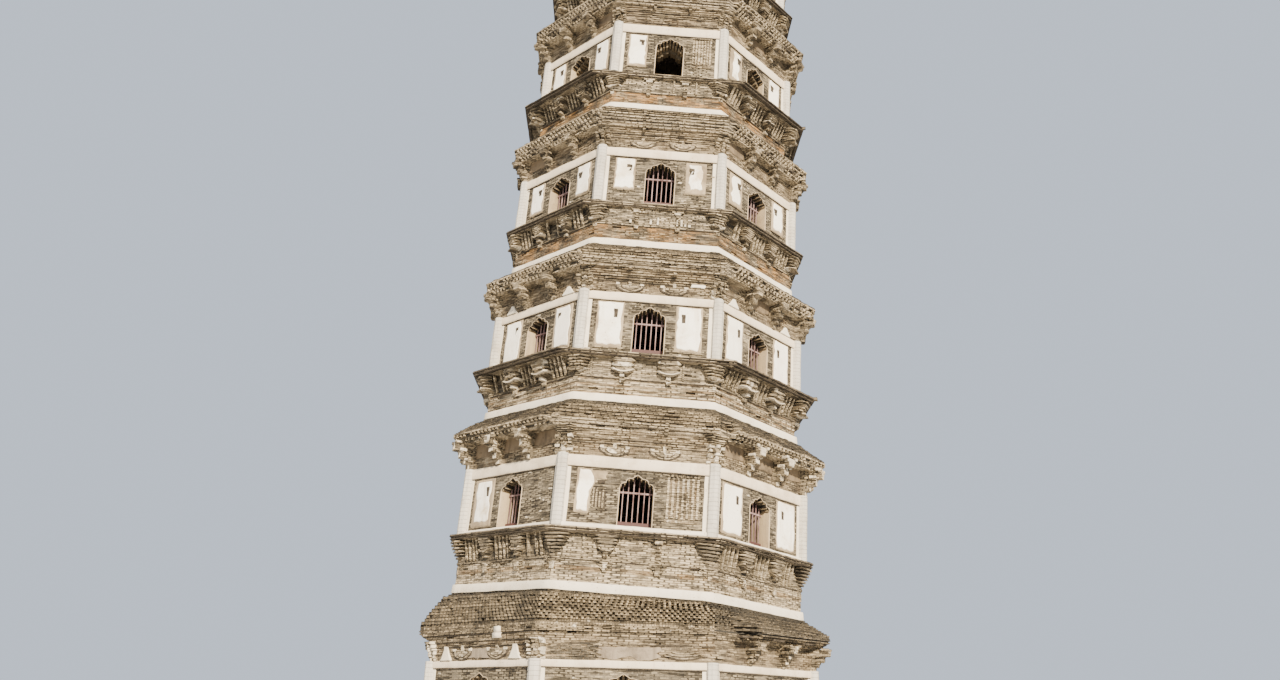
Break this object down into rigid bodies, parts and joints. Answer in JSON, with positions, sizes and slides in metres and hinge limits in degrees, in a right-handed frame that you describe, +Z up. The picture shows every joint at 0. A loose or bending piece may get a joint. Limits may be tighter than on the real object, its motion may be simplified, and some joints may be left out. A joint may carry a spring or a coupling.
{
  "type": "leaning octagonal brick pagoda, 1:2 scale model",
  "caption": "Leaning octagonal brick pagoda imitating timber framing, with stepped brick eaves, bracket sets, plastered corner posts and cusped doorways, hollow, as a 1:2 scale model",
  "frame": {"origin": "the middle of the base course's underside, on the ground", "axes": "+Z up, -Y is the face that the picture shows from the front, and the storeys above the ground storey lean towards +X"},
  "size_m": [7.5678, 7.2571, 23.8417],
  "materials": {
    "brick": "weathered thin brick with lime mortar",
    "plaster": "matt lime plaster, stained and chipped",
    "eave_brick": "dark weathered stepped brick",
    "floor_brick": "worn brick paving"
  },
  "bodies": {
    "root": {"base": "brick", "ground_wall": "brick", "ground_frame": "plaster", "ground_brackets": "brick", "ground_eave": "eave_brick", "storey2_balcony": "brick", "storey2_floor": "floor_brick", "storey2_wall": "brick", "storey2_frame": "plaster", "storey2_brackets": "brick", "storey2_eave": "eave_brick", "storey3_balcony": "brick", "storey3_floor": "floor_brick", "storey3_wall": "brick", "storey3_frame": "plaster", "storey3_brackets": "brick", "storey3_eave": "eave_brick", "storey4_balcony": "brick", "storey4_floor": "floor_brick", "storey4_wall": "brick", "storey4_frame": "plaster", "storey4_brackets": "brick", "storey4_eave": "eave_brick", "storey5_balcony": "brick", "storey5_floor": "floor_brick", "storey5_wall": "brick", "storey5_frame": "plaster", "storey5_brackets": "brick", "storey5_eave": "eave_brick", "storey6_balcony": "brick", "storey6_floor": "floor_brick", "storey6_wall": "brick", "storey6_frame": "plaster", "storey6_brackets": "brick", "storey6_eave": "eave_brick", "storey7_balcony": "brick", "storey7_floor": "floor_brick", "storey7_wall": "brick", "storey7_frame": "plaster", "storey7_brackets": "brick", "storey7_eave": "eave_brick", "roof": "eave_brick", "spire_stump": "brick"}
  },
  "joints": []
}
